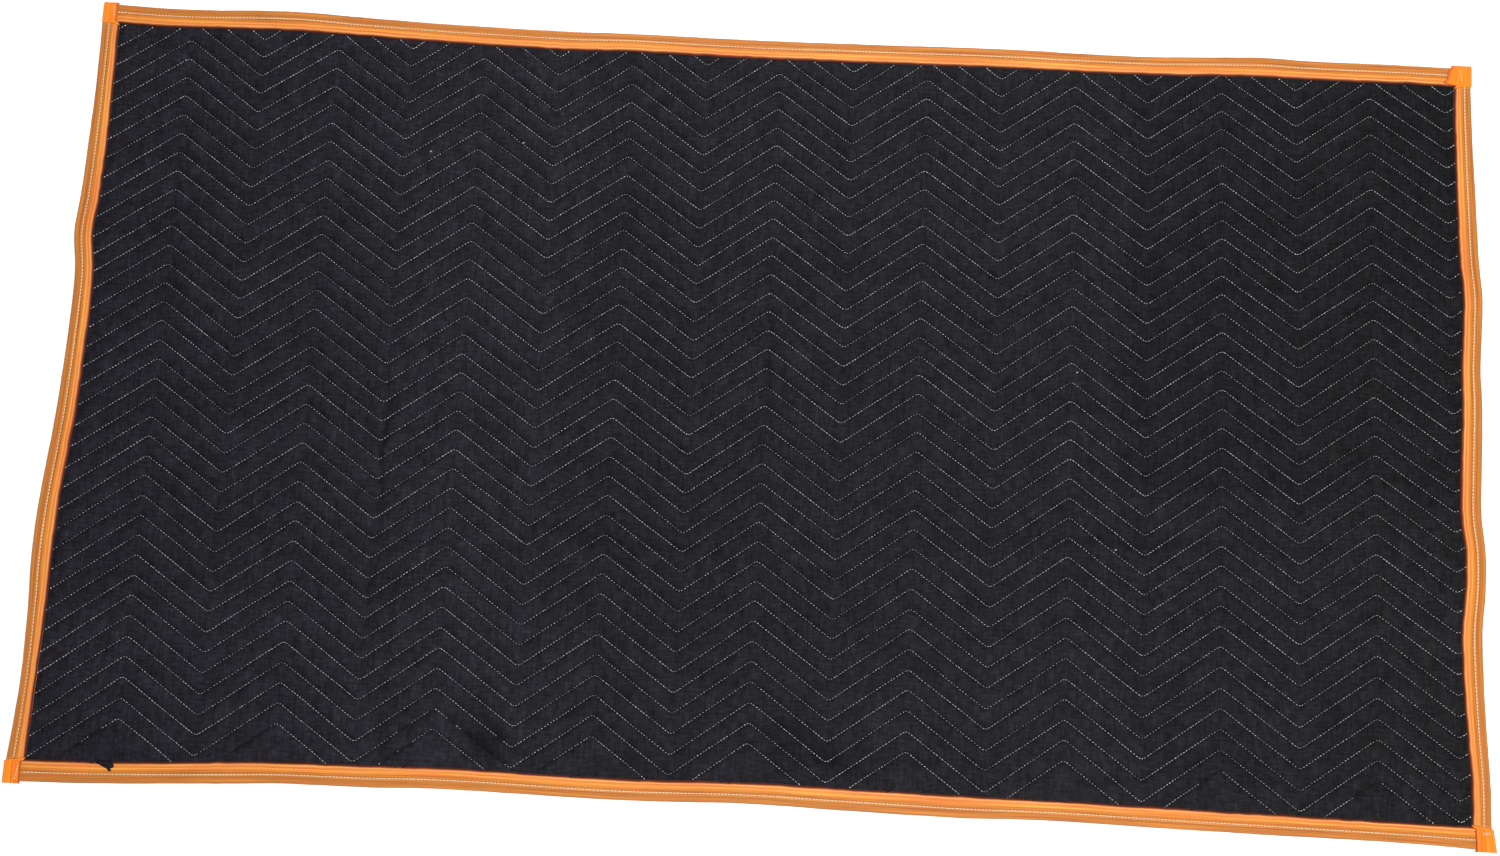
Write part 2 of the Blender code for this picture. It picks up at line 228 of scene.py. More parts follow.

# Panels of the cloth between its folds lie a little tilted and catch the light differently; this is painted
# light and shade, some panels painted a little greyer and some blacker, with soft borders or, at a fold, a
# sharp one. Each row: where the panel starts and ends in x and in y, how soft it ends in x and in y, and how
# much lighter it is painted.
PANELS = (
    (-920, -260, -500, 520, 90, 60, 0.22),
    (-900, -200, -480, -280, 60, 40, 0.07),
    (-260, 280, -480, -290, 80, 60, 0.06),
    (-430, -340, -290, -90, 40, 60, 0.06),
    (-900, -500, -60, 330, 60, 50, -0.04),
    (282, 456, -480, -290, 8, 40, 0.09),
    (444, 900, -90, 200, 10, 60, -0.19),
    (456, 900, 200, 500, 12, 60, -0.20),
    (-330, 40, 290, 500, 60, 50, 0.07),
    (700, 790, -470, -280, 40, 40, -0.07),
    (780, 900, 240, 500, 50, 50, -0.07),
    (0, 150, -460, -395, 40, 20, -0.15),
    (-350, -316, -448, -416, 18, 16, -0.30),
    (-372, -290, -452, -400, 30, 16, -0.08),
)


def mottle(across, along, spacing_across, spacing_along, seed):
    """Smooth uneven values from -1 to 1 over a surface, with one free value every spacing, in mm."""
    spread = 4000.0
    counts = (int(spread / spacing_across) + 3, int(spread / spacing_along) + 3)
    free = np.random.default_rng(seed).uniform(-1, 1, counts)
    a = (np.asarray(across, float) + spread / 2) / spacing_across
    b = (np.asarray(along, float) + spread / 2) / spacing_along
    a, b = np.broadcast_arrays(a, b)
    i, j = a.astype(int), b.astype(int)
    s, t = a - i, b - j
    s, t = s * s * (3 - 2 * s), t * t * (3 - 2 * t)
    near_side = free[i, j] * (1 - t) + free[i, j + 1] * t
    far_side = free[i + 1, j] * (1 - t) + free[i + 1, j + 1] * t
    return near_side * (1 - s) + far_side * s


def mottles(x, y, layers):
    """Several mottles added up."""
    return sum(share * mottle(x, y, in_x, in_y, seed) for share, in_x, in_y, seed in layers)


def smooth_ramp(value, start, span):
    """From 0 at the start to 1 a span further on, level at both ends."""
    part = np.clip((value - start) / span, 0, 1)
    return part * part * (3 - 2 * part)


def zigzag(x):
    """Height of the zigzag over its lowest line, its kinks rounded by the swing of the carriage."""
    heights = [ZIGZAG_HEIGHT if index % 2 == 0 else 0.0 for index in range(len(KINKS))]
    heights[1] = LEFT_RUN_OUT
    steps = np.linspace(-KINK_ROUND, KINK_ROUND, 5)
    quilt_x = np.asarray(x, float) - QUILT_MIDDLE_X
    return sum(np.interp(quilt_x + step, KINKS, heights) for step in steps) / len(steps)


def row_y(place, x):
    """Where a line of the quilting runs; a place between two whole numbers lies between two rows."""
    across = np.asarray(x, float) / BOW_HALF_LENGTH
    pitch = ROW_PITCH + PITCH_BOW * across**2 + PITCH_TAPER * across
    height = np.asarray(place, float) / LAST_ROW
    sideways = SKEW * across * height + MIDDLE_SHIFT * (1 - height**2)
    shift = smooth_ramp(-height, *NEAR_SHIFT_RAMP) * smooth_ramp(across, *NEAR_SHIFT_ALONG)
    sideways -= NEAR_SHIFT * shift
    lift = smooth_ramp(height, *FAR_LIFT_RAMP) * (FAR_LIFT - FAR_LIFT_TILT * across) - ROWS_SINK
    sink = NEAR_SINK + NEAR_SINK_TILT * np.maximum(across, 0)
    lift -= sink * smooth_ramp(-height, *NEAR_SINK_RAMP)
    whole = np.floor(place)
    part = place - whole
    before, after = (
        mottle(line * ROW_WOBBLE_APART, x, ROW_WOBBLE_APART, ROW_WOBBLE_LENGTH, 11)
        for line in (whole, whole + 1)
    )
    wobble = ROW_WOBBLE * (before * (1 - part) + after * part)
    return MIDDLE_ROW_Y + place * pitch + zigzag(np.asarray(x, float) - sideways) + lift + wobble


def puff(place):
    """How far the cloth has risen between two stitch lines, from 0 on a line to 1 half-way."""
    share = np.where(place < FIRST_ROW, np.minimum(FIRST_ROW - place, 0.5), place - np.floor(place))
    return np.sin(math.pi * share) ** PUFF_SHAPE


def inside_by(x, y):
    """How far a point lies inside the inner edges of the tapes, in mm."""
    gaps = (
        inner_edge("far", x) - y,
        inner_edge("near", x) + y,
        inner_edge("right", y) - x,
        inner_edge("left", y) + x,
    )
    return np.minimum.reduce(gaps)


def crease_drop(x, y, swelling=SWELLING):
    """Depth of all the creases at a point: a soft trough with a low swelling on each side of it."""
    drop = np.zeros_like(x)
    for start_x, start_y, end_x, end_y, depth, width in CREASES:
        length = math.hypot(end_x - start_x, end_y - start_y)
        run_x, run_y = (end_x - start_x) / length, (end_y - start_y) / length
        off_x, off_y = x - QUILT_MIDDLE_X - start_x, y - start_y
        along = off_x * run_x + off_y * run_y
        off = off_y * run_x - off_x * run_y + CREASE_WANDER * np.sin(along / CREASE_WANDER_LENGTH + start_x)
        fade = np.sin(math.pi * np.clip((along + width) / (length + 2 * width), 0, 1))
        trough = np.exp(-((off / width) ** 2))
        beside = np.exp(-(((np.abs(off) - SWELLING_PLACE * width) / width) ** 2))
        drop += depth * np.sqrt(fade) * (trough - swelling * beside)
    return drop


def cloth_tone_and_painted_light(x, y):
    """How light the black is at a point, near 1: painted shade in the creases, panels painted lighter or
    darker as painted light, and random greyer clouds.
    """
    tone_and_painted_light = 1 - CREASE_SHADE * np.clip(crease_drop(x, y, swelling=0), *SHADED_DEPTHS)
    for start_x, end_x, start_y, end_y, soft_x, soft_y, lighter in PANELS:
        in_x = smooth_ramp(x - start_x, -soft_x / 2, soft_x) * smooth_ramp(end_x - x, -soft_x / 2, soft_x)
        in_y = smooth_ramp(y - start_y, -soft_y / 2, soft_y) * smooth_ramp(end_y - y, -soft_y / 2, soft_y)
        tone_and_painted_light += lighter * in_x * in_y
    return tone_and_painted_light + mottles(x, y, CLOUDS)


def cloth_top(place, x, y):
    """Height of the upper cloth, which the tapes press down at the edges."""
    z = STITCH_Z + (PUFF_Z - STITCH_Z) * puff(place) * (1 + mottles(x, y, UNEVEN_PUFFS))
    z += mottles(x, y, RIPPLES) - crease_drop(x, y)
    free = smooth_ramp(inside_by(x, y), RAMP_START, RAMP)
    return PRESSED_OVER + (np.maximum(z, DEEPEST_Z) - PRESSED_OVER) * free


def cloth_under(place, x, y):
    """Height of the lower cloth: it rests flat on the surface between its rows of stitching."""
    lift = UNDER_STITCH_Z * (1 - np.minimum(puff(place) * UNDER_FLAT, 1))
    free = smooth_ramp(inside_by(x, y), RAMP_START, RAMP)
    return PRESSED_UNDER + (lift - PRESSED_UNDER) * free


def quilt_grid(places, columns, height):
    """One side of the body: points, faces, rim, uv and tone with its painted light and shade. Lines that run
    off it end on its edge.
    """
    on_edge = 1e-6
    columns = np.array(columns, float)
    place, x = np.meshgrid(np.array(places, float), columns, indexing="ij")
    near = -(outer_fold("near", x) - PRESSED_INSET)
    far = outer_fold("far", x) - PRESSED_INSET
    y = np.clip(row_y(place, x), near, far)
    side = np.where(x > 0, outer_fold("right", y), outer_fold("left", y)) - PRESSED_INSET
    reach = np.where(x > 0, columns[-1], -columns[0])
    share = np.clip((np.abs(x) - SIDE_WARP_START) / (reach - SIDE_WARP_START), 0, 1)
    x = np.sign(x) * (np.abs(x) + share * (side - reach))
    z = height(place, x, y)

    below = y <= near + on_edge
    above = y >= far - on_edge
    index = np.arange(y.size).reshape(y.shape)
    first_inside = below.sum(axis=0) - 1
    last_inside = y.shape[0] - above.sum(axis=0)
    for column in range(y.shape[1]):
        index[: first_inside[column] + 1, column] = index[max(first_inside[column], 0), column]
        index[last_inside[column] :, column] = index[min(last_inside[column], y.shape[0] - 1), column]
    faces = []
    quads = np.stack((index[:-1, :-1], index[:-1, 1:], index[1:, 1:], index[1:, :-1]), axis=-1)
    for quad in quads.reshape(-1, 4).tolist():
        corners = list(dict.fromkeys(quad))
        if len(corners) > 2:
            faces.append(corners)
    rim = [*index[0, :], *index[:, -1], *index[-1, ::-1], *index[::-1, 0]]
    rim = list(dict.fromkeys(int(corner) for corner in rim))
    points = np.stack((x, y, z), axis=-1).reshape(-1, 3)
    uv = np.stack((x, place * ROW_PITCH, z), axis=-1).reshape(-1, 3)
    return points, faces, rim, uv, cloth_tone_and_painted_light(x, y).ravel()


def zip_rims(upper, lower, upper_points, lower_points):
    """Triangles that join two rims which follow the same outline with different numbers of points."""

    def shares(rim, points):
        ring = points[rim + rim[:1]][:, :2]
        steps = np.hypot(*np.diff(ring, axis=0).T)
        return np.concatenate(([0], np.cumsum(steps))) / steps.sum()

    upper_shares = shares(upper, upper_points)
    lower_shares = shares(lower, lower_points)
    offset = len(upper_points)
    faces = []
    i = j = 0
    while i < len(upper) or j < len(lower):
        a = upper[i % len(upper)]
        b = lower[j % len(lower)] + offset
        if j == len(lower) or (i < len(upper) and upper_shares[i + 1] <= lower_shares[j + 1]):
            i += 1
            faces.append([a, b, upper[i % len(upper)]])
        else:
            j += 1
            faces.append([a, b, lower[j % len(lower)] + offset])
    return faces


def linear_colour(hex_text):
    """An sRGB colour such as #E8842A as linear red, green, blue and alpha."""
    values = [int(hex_text[index : index + 2], 16) / 255 for index in (1, 3, 5)]
    return (*(v / 12.92 if v <= 0.04045 else ((v + 0.055) / 1.055) ** 2.4 for v in values), 1.0)


def new_material(name):
    """A new material, its node tree and its shader."""
    material = bpy.data.materials.new(name)
    material.use_nodes = True
    tree = material.node_tree
    return material, tree, tree.nodes["Principled BSDF"]


def add_node(tree, kind, inputs=None, stops=(), **settings):
    """Add a node. An input is a plain value or another node's output; stops are a ramp's (place, colour)."""
    made = tree.nodes.new(kind)
    for name, value in settings.items():
        setattr(made, name, value)
    for socket, value in (inputs or {}).items():
        if isinstance(value, bpy.types.NodeSocket):
            tree.links.new(value, made.inputs[socket])
        else:
            made.inputs[socket].default_value = value
    for _ in stops[2:]:
        made.color_ramp.elements.new(1.0)
    for element, (place, colour) in zip(made.color_ramp.elements if stops else (), stops):
        element.position = place
        element.color = linear_colour(colour)
    return made


def new_piece(name, points, faces, material, uv=None, tone_and_painted_light=None):
    """A smooth-shaded mesh piece from points in mm, with its own coordinates for the material."""
    mesh = bpy.data.meshes.new(name)
    used = np.unique(np.concatenate([np.ravel(face) for face in faces]))
    renumber = np.zeros(len(points), int)
    renumber[used] = np.arange(len(used))
    places = np.asarray(points)[used] * MM
    mesh.from_pydata(places.tolist(), [], [renumber[face].tolist() for face in faces])
    if uv is not None:
        layer = mesh.uv_layers.new(name="piece")
        corners = np.zeros(len(mesh.loops), int)
        mesh.loops.foreach_get("vertex_index", corners)
        layer.data.foreach_set("uv", (np.asarray(uv)[used][corners, :2] * MM).ravel())
    if tone_and_painted_light is not None:
        mesh.attributes.new("tone_and_painted_light", "FLOAT", "POINT").data.foreach_set("value", np.asarray(tone_and_painted_light)[used])
    mesh.materials.append(material)
    mesh.shade_smooth()
    mesh.validate()
    piece = bpy.data.objects.new(name, mesh)
    bpy.context.scene.collection.objects.link(piece)
    return piece


# Black spunbond polyester: a felt of melt-bonded filaments, quite matt, faintly streaked along the roll that
# it was spun on, and a little bluer at one end of the pad. It has drawn up into a fine crosswise grain. Its
# colour also carries painted shade: darker down in the stitch lines, in the hollows of its grain (partly
# real unevenness of the felt too), puckers and crumples, and in its creases.
STREAK_WIDTH = 7.0
STREAK_LENGTH = 90.0
DYE_PER_METRE = 0.55
FILAMENT_MM = 0.9
GRAIN_LENGTH = 11.0
GRAIN_WIDTH = 3.2
PUCKER_WIDTH = 3.4
PUCKER_LENGTH = 17.0
CRUMPLE_MM = 22.0
spunbond, tree, shader = new_material("black_spunbond_polyester")
coords = add_node(tree, "ShaderNodeTexCoord").outputs["Object"]
sewn_at = add_node(tree, "ShaderNodeUVMap", uv_map="piece").outputs["UV"]
streaks_at = add_node(
    tree, "ShaderNodeMapping",
    {"Vector": coords, "Scale": (1 / (STREAK_WIDTH * MM), 1 / (STREAK_LENGTH * MM), 1)},
).outputs["Vector"]
streaks = add_node(
    tree, "ShaderNodeTexNoise", {"Vector": streaks_at, "Scale": 1.0, "Detail": 3.0},
).outputs["Fac"]
along_pad = add_node(
    tree, "ShaderNodeMath",
    {0: add_node(tree, "ShaderNodeSeparateXYZ", {"Vector": coords}).outputs["X"], 1: DYE_PER_METRE, 2: 0.5},
    operation="MULTIPLY_ADD",
).outputs[0]
streak_colour = add_node(
    tree, "ShaderNodeValToRGB", {"Fac": streaks}, stops=((0.3, "#26242A"), (0.7, "#312F33")),
).outputs["Color"]
dye_colour = add_node(
    tree, "ShaderNodeValToRGB", {"Fac": along_pad},
    stops=((0.0, "#2A2833"), (0.5, "#2C2B33"), (1.0, "#2E2E2E")),
).outputs["Color"]
cloth_colour = add_node(
    tree, "ShaderNodeMix", {0: 0.5, 6: streak_colour, 7: dye_colour}, data_type="RGBA",
).outputs[2]

# Painted shade: the same noises that raise the grain, puckers and crumples in the bump below darken the
# colour in their hollows; for the grain this is partly real unevenness of the felt's density too.
grain_at = add_node(
    tree, "ShaderNodeMapping",
    {"Vector": coords, "Scale": (1 / (GRAIN_LENGTH * MM), 1 / (GRAIN_WIDTH * MM), 1)},
).outputs["Vector"]
grain = add_node(
    tree, "ShaderNodeTexNoise", {"Vector": grain_at, "Scale": 1.0, "Detail": 3.0},
).outputs["Fac"]
grain_density_and_painted_shade = add_node(
    tree, "ShaderNodeValToRGB", {"Fac": grain}, stops=((0.32, "#BABABA"), (0.68, "#FFFFFF")),
).outputs["Color"]
puckers_at = add_node(
    tree, "ShaderNodeMapping",
    {"Vector": sewn_at, "Scale": (1 / (PUCKER_WIDTH * MM), 1 / (PUCKER_LENGTH * MM), 1)},
).outputs["Vector"]
puckers = add_node(
    tree, "ShaderNodeTexNoise", {"Vector": puckers_at, "Scale": 1.0, "Detail": 2.0},
).outputs["Fac"]
pucker_painted_shade = add_node(
    tree, "ShaderNodeValToRGB", {"Fac": puckers}, stops=((0.32, "#C6C6C6"), (0.68, "#FFFFFF")),
).outputs["Color"]
crumple = add_node(
    tree, "ShaderNodeTexNoise",
    {"Vector": coords, "Scale": 1 / (CRUMPLE_MM * MM), "Detail": 3.0, "Distortion": 0.6},
).outputs["Fac"]
crumple_painted_shade = add_node(
    tree, "ShaderNodeValToRGB", {"Fac": crumple}, stops=((0.36, "#DADADA"), (0.64, "#FFFFFF")),
).outputs["Color"]
# Painted shade: by the row coordinate, the colour is darkened next to each stitch line, a little more on the
# far foot of each puff.
row_place = add_node(
    tree, "ShaderNodeMath",
    {0: add_node(tree, "ShaderNodeSeparateXYZ", {"Vector": sewn_at}).outputs["Y"], 1: ROW_PITCH * MM},
    operation="DIVIDE",
).outputs[0]
past_line = add_node(tree, "ShaderNodeMath", {0: row_place}, operation="FRACT").outputs[0]
stitch_line_painted_shade = add_node(
    tree, "ShaderNodeValToRGB", {"Fac": past_line},
    stops=(
        (0.0, "#E4E4E4"), (0.05, "#F6F6F6"), (0.12, "#FDFDFD"), (0.5, "#FAFAFA"), (0.8, "#FFFFFF"),
        (0.94, "#F0F0F0"), (1.0, "#E4E4E4"),
    ),
).outputs["Color"]
in_rows = add_node(
    tree, "ShaderNodeMath", {0: row_place, 1: FIRST_ROW - 0.1}, operation="GREATER_THAN",
).outputs[0]
# The tone attribute carries painted shade in the creases and painted light and shade on the panels, besides
# random clouds.
tone_and_painted_light = add_node(tree, "ShaderNodeAttribute", attribute_name="tone_and_painted_light").outputs["Fac"]
for factor, shade in (
    (1.0, grain_density_and_painted_shade), (1.0, pucker_painted_shade), (1.0, crumple_painted_shade), (in_rows, stitch_line_painted_shade), (1.0, tone_and_painted_light),
):
    cloth_colour = add_node(
        tree, "ShaderNodeMix", {0: factor, 6: cloth_colour, 7: shade},
        data_type="RGBA", blend_type="MULTIPLY",
    ).outputs[2]
tree.links.new(cloth_colour, shader.inputs["Base Color"])
shader.inputs["Roughness"].default_value = 0.75
shader.inputs["Specular IOR Level"].default_value = 0.08

# The filaments themselves are too fine to show, so the felt is drawn as coarse as FILAMENT_MM.
felt = add_node(
    tree, "ShaderNodeTexNoise", {"Vector": coords, "Scale": 1 / (FILAMENT_MM * MM), "Detail": 4.0},
).outputs["Fac"]
surface = None
for height, depth in ((crumple, 3.6), (grain, 0.9), (puckers, 0.9), (felt, 0.25)):
    bump = {"Height": height, "Strength": 0.5, "Distance": depth * MM}
    if surface:
        bump["Normal"] = surface
    surface = add_node(tree, "ShaderNodeBump", bump).outputs["Normal"]
tree.links.new(surface, shader.inputs["Normal"])


def columns_along(step, kink_columns):
    """Places along the pad where the cloth is bent: close together at the kinks and by the sides."""
    columns = set(CREASE_COLUMNS)
    for before, after in zip(KINKS, KINKS[1:]):
        count = round((after - before - 2 * kink_columns[-1]) / step)
        inner = np.linspace(before + kink_columns[-1], after - kink_columns[-1], count + 1)
        columns.update(inner[1:-1] + QUILT_MIDDLE_X)
        columns.update(before + offset + QUILT_MIDDLE_X for offset in kink_columns)
    plain = (value for value in columns if abs(value) < SIDE_WARP_START - SIDE_CLEAR)
    return sorted([*plain, *SIDE_COLUMNS])


def row_lines(shares, bare):
    """Places of the lines along the rows; the bare ones lie past the first row."""
    whole = [row + share for row in range(FIRST_ROW, LAST_ROW) for share in shares]
    return [*bare, *whole, LAST_ROW]


top_points, top_faces, top_rim, top_uv, top_tone_and_painted_light = quilt_grid(
    row_lines(LINE_SHARES, BARE_LINES),
    columns_along(COLUMN_STEP, KINK_COLUMNS),
    cloth_top,
)
under_points, under_faces, under_rim, under_uv, under_tone_and_painted_light = quilt_grid(
    row_lines(UNDER_SHARES, UNDER_BARE_LINES),
    columns_along(UNDER_COLUMN_STEP, UNDER_KINK_COLUMNS),
    cloth_under,
)
under_faces = [[corner + len(top_points) for corner in reversed(face)] for face in under_faces]
joining = zip_rims(top_rim, under_rim, top_points, under_points)
body_points = np.concatenate((top_points, under_points))
body_faces = top_faces + under_faces + joining
body_uv = np.concatenate((top_uv, under_uv))
body_tone_and_painted_light = np.concatenate((top_tone_and_painted_light, under_tone_and_painted_light))
quilted_cloth = new_piece("quilted_cloth_body", body_points, body_faces, spunbond, body_uv, body_tone_and_painted_light)
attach(quilted_cloth, "root")
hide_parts("quilted_panel")

# The quilting thread: grey twisted polyester with a soft shine, lock-stitched about six to the inch. The
# machine's tension pulls each stitch down into the cloth at its two ends, so a row reads as a string of
# short dashes. Near the near edge some of the lowest rows are broken, at ROW_GAPS: row, start and end in x.
QUILT_STITCH = 4.3
QUILT_THREAD_RADIUS = 0.31
QUILT_STITCH_RINGS = ((0.12, 1.0), (0.5, 1.06), (0.88, 1.0))
QUILT_STITCH_DIVE = 0.5
QUILT_STITCH_LIFT = 0.28
STITCH_WANDER = 0.25
BARE_SHARE = 0.38
BARE_UNEVEN = 0.16
BARE_WANDER = 0.08
BARE_RANGE = (0.08, 0.56)
THICKNESS_UNEVEN = 0.12
ROWS_APART = 40.0
ARM_LENGTH = 98.0
THREAD_END = 912.0
THREAD_REACH = 1.5
QUILT_SEED = 500
ROW_GAPS = (
    (-20, -900, -831), (-20, -820, -806), (-20, -665, -598), (-20, -458, -439), (-20, -435, -424),
    (-20, -273, -246), (-20, 548, 578), (-20, 737, 772),
    (-19, -440, -426), (-19, -404, -398), (-19, -381, -368), (-19, -364, -306), (-18, -318, -309),
)
ROW_GROUPS = ((-20, -11), (-10, -1), (0, 9), (10, 20))
THREAD_CLOUD = 6.25
grey_thread, tree, shader = new_material("grey_polyester_thread")
coords = add_node(tree, "ShaderNodeTexCoord").outputs["Object"]
thread_clouds = add_node(
    tree, "ShaderNodeTexNoise", {"Vector": coords, "Scale": 1 / (THREAD_CLOUD * MM), "Detail": 2.0},
).outputs["Fac"]
thread_colour = add_node(
    tree, "ShaderNodeValToRGB", {"Fac": thread_clouds}, stops=((0.35, "#8E8E96"), (0.65, "#F2F2F4")),
).outputs["Color"]
tree.links.new(thread_colour, shader.inputs["Base Color"])
shader.inputs["Roughness"].default_value = 0.6
shader.inputs["Specular IOR Level"].default_value = 0.4


def stitches(starts, ends, radii, dive, rings=QUILT_STITCH_RINGS):
    """Short four-sided spindles of thread from start to end points, each sunk at its two tips."""
    sides = 4
    as_thick_as_round = 1.2
    run = ends - starts
    length = np.linalg.norm(run[:, :2], axis=1)[:, None]
    side = np.stack((-run[:, 1], run[:, 0], np.zeros(len(run))), axis=-1) / length
    up = np.array([0.0, 0.0, 1.0])
    rows = [starts - dive * up]
    for share, swell in rings:
        centre = starts + run * share
        reach = (radii * swell * as_thick_as_round)[:, None]
        for turn in range(sides):
            angle = math.pi / 4 + turn * math.pi / 2
            rows.append(centre + (side * math.cos(angle) + up * math.sin(angle)) * reach)
    rows.append(ends - dive * up)
    points = np.stack(rows, axis=1)
    size = points.shape[1]
    last = size - 1
    pattern = [[0, 1 + (turn + 1) % sides, 1 + turn] for turn in range(sides)]
    for ring in range(len(rings) - 1):
        low = 1 + sides * ring
        for turn in range(sides):
            after = (turn + 1) % sides
            pattern.append([low + turn, low + after, low + sides + after, low + sides + turn])
    low = 1 + sides * (len(rings) - 1)
    pattern += [[low + turn, low + (turn + 1) % sides, last] for turn in range(sides)]
    faces = []
    for base in range(0, len(points) * size, size):
        faces += [[base + corner for corner in face] for face in pattern]
    return points.reshape(-1, 3), faces


def row_stitches(row, seed):
    """Start and end points of the stitches of one row, with their thread's radii."""
    random = np.random.default_rng(seed)
    step = QUILT_STITCH / math.hypot(1, ZIGZAG_HEIGHT / ARM_LENGTH)
    start_x = np.arange(-THREAD_END, THREAD_END, step) + random.uniform(0, step)
    start_x = start_x + random.uniform(-STITCH_WANDER, STITCH_WANDER, len(start_x))
    tight = mottle(start_x, row * ROWS_APART, 70, ROWS_APART, 31)
    bare = BARE_SHARE + BARE_UNEVEN * tight + random.uniform(-BARE_WANDER, BARE_WANDER, len(start_x))
    end_x = start_x + step * (1 - np.clip(bare, *BARE_RANGE))
    middle_x = (start_x + end_x) / 2
    shown = inside_by(middle_x, row_y(row, middle_x)) > -THREAD_REACH
    for gap_row, gap_start, gap_end in ROW_GAPS:
        if gap_row == row:
            shown &= (middle_x < gap_start) | (middle_x > gap_end)
    start_x, end_x = start_x[shown], end_x[shown]
    ends = []
    for at in (start_x, end_x):
        y = row_y(row, at)
        z = cloth_top(np.full(len(at), float(row)), at, y) + QUILT_STITCH_LIFT
        ends.append(np.stack((at, y, z), axis=-1))
    uneven = THICKNESS_UNEVEN * mottle(start_x, row * ROWS_APART, 25, ROWS_APART, 32)
    return *ends, QUILT_THREAD_RADIUS * (1 + uneven)


quilting = []
for first, last in ROW_GROUPS:
    parts = [row_stitches(row, QUILT_SEED + row) for row in range(first, last + 1)]
    starts, ends, radii = (np.concatenate(group) for group in zip(*parts))
    points, faces = stitches(starts, ends, radii, QUILT_STITCH_DIVE)
    thread = new_piece(f"quilting_thread_{len(quilting) + 1}", points, faces, grey_thread)
    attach(thread, "root")
    quilting.append(thread)

# Snipped ends of paler thread still cling to the cloth in a few places. Each lies flat: where it starts
# and which way it points, in mm.
SNIPPETS = ((-341, 339, 2.5, 1.5), (-461, 321, 1.5, 2.0), (391, 66, 2.2, 1.2), (442, -160, 2.6, 1.2))
SNIPPET_RADIUS = 0.7
SNIPPET_Z = 6.0
SNIPPET_DIVE = 0.3
pale_lint, tree, shader = new_material("pale_polyester_lint")
shader.inputs["Base Color"].default_value = linear_colour("#B4B4B8")
shader.inputs["Roughness"].default_value = 0.7
snipped = np.array(SNIPPETS)
starts = np.column_stack((snipped[:, :2], np.full(len(snipped), SNIPPET_Z)))
ends = starts + np.column_stack((snipped[:, 2:], np.zeros(len(snipped))))
points, faces = stitches(starts, ends, np.full(len(snipped), SNIPPET_RADIUS), SNIPPET_DIVE)
lint = new_piece("snipped_thread_ends", points, faces, pale_lint)
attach(lint, "root")

# The binding: orange woven polyester tape, 24 mm wide once it is folded in half over the raw edge. Its
# upper leg is hemmed under, so the inner half of the band is two layers and stands brighter and fuller. The
# long tapes are tucked under the laps of the short ones, and the far right lap was folded on a slant.
TAPE_STATION = 6.0
TAPE_NOMINAL = 24.0
ACROSS_TOP = 38
SEAM_SHARE = 0.455
SEAM_SINK = 0.5
SEAM_GROOVE = 1.5
HEM_SHARE = 0.5
HEM_STEP = 0.05
HEM_CROWN = 0.25
HEM_EDGE = 1.0
HEM_NOSE = 0.3
OVERHANG = -0.2
SELVAGE = 2.6
SELVAGE_THICKNESS = 0.4
RIDGE_SHARE = 0.75
RIDGE_HEIGHT = 0.4
RIDGE_WIDTH = 1.3
FOLD_DEPTH = 1.8
FOLD_ANGLE = 65
UNDER_LEG_SHORT = 1.5
RIB_SPACING = 1.6
RIB_LENGTH = 45
RIB_HEIGHT = 0.16
RIPPLE_PIVOT = 0.3
WAVED_ABOVE_Z = 3.2
LAP_ENDS = (4.0, 3.0)
LAP_CLOSED = 1.0
SLANTED_LAP = ((481.4, 886.0), (484.5, 875.0), (489.6, 880.0), (499.7, 881.5), (508.8, 889.0))
PRESSED_FROM = 867.0
PRESSED_RAMP = 7.0
TAPE_SEEDS = {"far": 60, "near": 70, "left": 80, "right": 90}
TAPE_WAVES = ((0.25, 18, 50, 0), (0.2, 7, 50, 1))
TAPE_EDGE_WAVES = ((0.7, 11, 50, 2), (0.4, 26, 50, 4))

# Heights of a tape's layers: the under leg, its inside, the upper leg's inside, the upper leg, the hem.
RUN_LEVELS = (0.0, 1.0, 3.6, 4.6, 5.4)
TUCK_LEVELS = (1.1, 1.9, 3.7, 4.5, 4.5)
LAP_LEVELS = (0.0, 0.8, 4.8, 5.7, 5.9)
CLOSED_LEVELS = (0.3, 2.7, 2.9, 5.2, 5.4)


def tape_waves(along, seed, layers):
    """Small waves of a tape along its length; each tape has its own seed."""
    layers = [(share, length, apart, seed + more) for share, length, apart, more in layers]
    return mottles(along, seed, layers)


